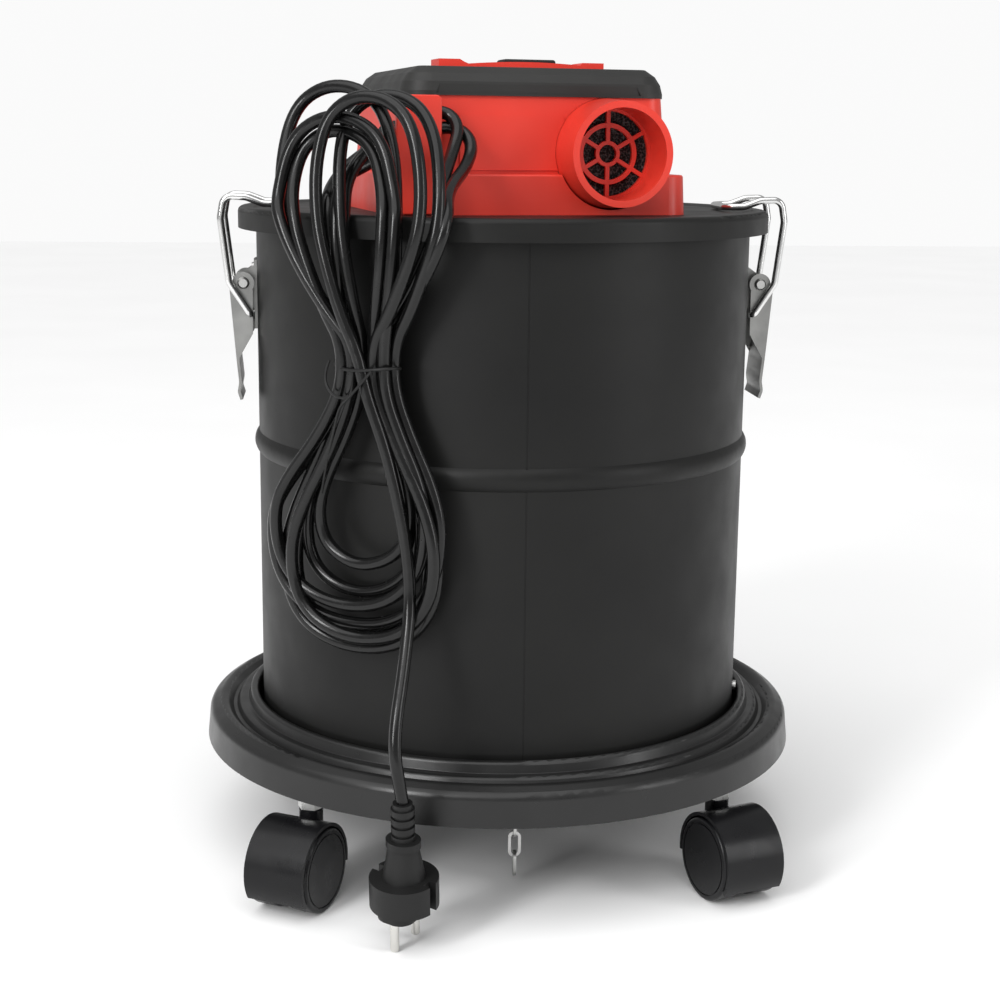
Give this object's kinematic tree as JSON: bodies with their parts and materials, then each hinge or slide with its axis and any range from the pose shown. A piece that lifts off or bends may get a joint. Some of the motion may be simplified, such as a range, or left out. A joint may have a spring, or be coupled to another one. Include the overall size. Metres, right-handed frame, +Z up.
{
  "type": "shop vacuum",
  "caption": "Castered steel-drum ash vacuum: square motor head on a latched lid, round blow port, carrying handle, mains cord tied in a hank.",
  "frame": {"origin": "on the floor under the centre of the dolly tray and the drum's axis", "axes": "+Z up; the drum's seam and the head's blow port face -Y; the hose inlet faces +Y; the two latches are on +X and -X"},
  "size_m": [0.3578, 0.3858, 0.4622],
  "materials": {
    "tray_plastic": "satin moulded black plastic",
    "zinc": "bright zinc-plated steel",
    "drum_paint": "satin black powder coat",
    "port_black": "moulded black plastic",
    "red_plastic": "moulded red plastic, half gloss",
    "cap_plastic": "fine-grained black plastic",
    "black_rubber": "matt black",
    "foam": "open-cell dark foam",
    "motor_steel": "plain steel",
    "cage_plastic": "moulded",
    "filter_paper": "pleated paper",
    "cord_pvc": "smooth PVC sheath",
    "nickel": "nickel plate",
    "caster_plastic": "moulded black plastic"
  },
  "bodies": {
    "drum": {"dolly_tray": "tray_plastic", "tray_screws": "zinc", "caster_stems": "zinc", "drum_wall": "drum_paint", "drum_bottom": "drum_paint", "inlet_port": "port_black", "drum_rivets": "zinc", "latch_bracket_left": "zinc", "latch_bracket_right": "zinc", "latch_pins": "zinc", "chain_eyelet": "zinc"},
    "caster_rear_left": {"caster_rear_left_hood": "caster_plastic", "caster_rear_left_axle": "zinc"},
    "caster_rear_left_wheel_a": {"caster_rear_left_wheel_a": "caster_plastic"},
    "caster_rear_left_wheel_b": {"caster_rear_left_wheel_b": "caster_plastic"},
    "caster_rear_right": {"caster_rear_right_hood": "caster_plastic", "caster_rear_right_axle": "zinc"},
    "caster_rear_right_wheel_a": {"caster_rear_right_wheel_a": "caster_plastic"},
    "caster_rear_right_wheel_b": {"caster_rear_right_wheel_b": "caster_plastic"},
    "caster_front_left": {"caster_front_left_hood": "caster_plastic", "caster_front_left_axle": "zinc"},
    "caster_front_left_wheel_a": {"caster_front_left_wheel_a": "caster_plastic"},
    "caster_front_left_wheel_b": {"caster_front_left_wheel_b": "caster_plastic"},
    "caster_front_right": {"caster_front_right_hood": "caster_plastic", "caster_front_right_axle": "zinc"},
    "caster_front_right_wheel_a": {"caster_front_right_wheel_a": "caster_plastic"},
    "caster_front_right_wheel_b": {"caster_front_right_wheel_b": "caster_plastic"},
    "latch_lever_right": {"latch_lever_right": "zinc"},
    "latch_bail_right": {"latch_bail_right": "zinc"},
    "latch_lever_left": {"latch_lever_left": "zinc"},
    "latch_bail_left": {"latch_bail_left": "zinc"},
    "ground_chain": {"ground_chain": "zinc"},
    "lid": {"lid": "drum_paint", "lid_seal": "black_rubber", "head_base": "red_plastic", "head_body": "red_plastic", "exhaust_port": "red_plastic", "exhaust_grille": "red_plastic", "exhaust_foam": "foam", "head_cap": "cap_plastic", "top_deck": "red_plastic", "carry_handle": "red_plastic", "handle_pad": "black_rubber", "switch_bezel": "cap_plastic", "cord_hook": "red_plastic", "strain_relief": "black_rubber", "head_screws": "zinc", "motor_mount": "motor_steel", "motor_can": "motor_steel", "filter_cage": "cage_plastic", "filter_cartridge": "filter_paper", "filter_nut": "cap_plastic", "cord_lead": "cord_pvc", "cord_hank": "cord_pvc", "cord_tail": "cord_pvc", "cord_tie": "black_rubber", "plug_body": "black_rubber", "plug_pins": "nickel"},
    "switch_rocker": {"switch_rocker": "cap_plastic"},
    "motor_rotor": {"motor_rotor": "motor_steel"}
  },
  "joints": [
    {"name": "swivel_rear_left", "type": "hinge", "parent": "drum", "child": "caster_rear_left", "pos_m": [-0.11526, -0.11526, 0.047], "axis": [0, 0, 1], "continuous": true},
    {"name": "roll_rear_left_a", "type": "hinge", "parent": "caster_rear_left", "child": "caster_rear_left_wheel_a", "pos_m": [-0.12337, -0.1302, 0.0235], "axis": [0.8788, -0.4772, 0], "continuous": true},
    {"name": "roll_rear_left_b", "type": "hinge", "parent": "caster_rear_left", "child": "caster_rear_left_wheel_b", "pos_m": [-0.12337, -0.1302, 0.0235], "axis": [0.8788, -0.4772, 0], "continuous": true},
    {"name": "swivel_rear_right", "type": "hinge", "parent": "drum", "child": "caster_rear_right", "pos_m": [0.11526, -0.11526, 0.047], "axis": [0, 0, 1], "continuous": true},
    {"name": "roll_rear_right_a", "type": "hinge", "parent": "caster_rear_right", "child": "caster_rear_right_wheel_a", "pos_m": [0.12093, -0.13128, 0.0235], "axis": [0.9426, 0.3338, 0], "continuous": true},
    {"name": "roll_rear_right_b", "type": "hinge", "parent": "caster_rear_right", "child": "caster_rear_right_wheel_b", "pos_m": [0.12093, -0.13128, 0.0235], "axis": [0.9426, 0.3338, 0], "continuous": true},
    {"name": "swivel_front_left", "type": "hinge", "parent": "drum", "child": "caster_front_left", "pos_m": [-0.11526, 0.11526, 0.047], "axis": [0, 0, 1], "continuous": true},
    {"name": "roll_front_left_a", "type": "hinge", "parent": "caster_front_left", "child": "caster_front_left_wheel_a", "pos_m": [-0.12324, 0.13027, 0.0235], "axis": [-0.8829, -0.4695, 0], "continuous": true},
    {"name": "roll_front_left_b", "type": "hinge", "parent": "caster_front_left", "child": "caster_front_left_wheel_b", "pos_m": [-0.12324, 0.13027, 0.0235], "axis": [-0.8829, -0.4695, 0], "continuous": true},
    {"name": "swivel_front_right", "type": "hinge", "parent": "drum", "child": "caster_front_right", "pos_m": [0.11526, 0.11526, 0.047], "axis": [0, 0, 1], "continuous": true},
    {"name": "roll_front_right_a", "type": "hinge", "parent": "caster_front_right", "child": "caster_front_right_wheel_a", "pos_m": [0.12376, 0.12998, 0.0235], "axis": [-0.866, 0.5, 0], "continuous": true},
    {"name": "roll_front_right_b", "type": "hinge", "parent": "caster_front_right", "child": "caster_front_right_wheel_b", "pos_m": [0.12376, 0.12998, 0.0235], "axis": [-0.866, 0.5, 0], "continuous": true},
    {"name": "latch_right", "type": "hinge", "parent": "drum", "child": "latch_lever_right", "pos_m": [0.1523, 0, 0.335], "axis": [0, -1, 0], "range_deg": [0, 112]},
    {"name": "bail_right", "type": "hinge", "parent": "latch_lever_right", "child": "latch_bail_right", "pos_m": [0.1485, 0, 0.317], "axis": [0, -1, 0], "range_deg": [-140, 0]},
    {"name": "latch_left", "type": "hinge", "parent": "drum", "child": "latch_lever_left", "pos_m": [-0.1523, 0, 0.335], "axis": [0, 1, 0], "range_deg": [0, 112]},
    {"name": "bail_left", "type": "hinge", "parent": "latch_lever_left", "child": "latch_bail_left", "pos_m": [-0.1485, 0, 0.317], "axis": [0, 1, 0], "range_deg": [-140, 0]},
    {"name": "chain_swing", "type": "hinge", "parent": "drum", "child": "ground_chain", "pos_m": [0, -0.108, 0.0535], "axis": [1, 0, 0], "range_deg": [-40, 40]},
    {"name": "lid_lift", "type": "slide", "parent": "drum", "child": "lid", "axis": [0, 0, 1], "range_m": [0, 0.22]},
    {"name": "switch_tilt", "type": "hinge", "parent": "lid", "child": "switch_rocker", "pos_m": [-0.01234, 0.07375, 0.42], "axis": [0.9863, 0.165, 0], "range_deg": [0, 14]},
    {"name": "rotor_spin", "type": "hinge", "parent": "lid", "child": "motor_rotor", "pos_m": [0, 0, 0.4], "axis": [0, 0, 1], "continuous": true}
  ],
  "couplings": [
    {"joint": "bail_right", "follows": "latch_right", "ratio": -1.25},
    {"joint": "bail_left", "follows": "latch_left", "ratio": -1.25}
  ]
}
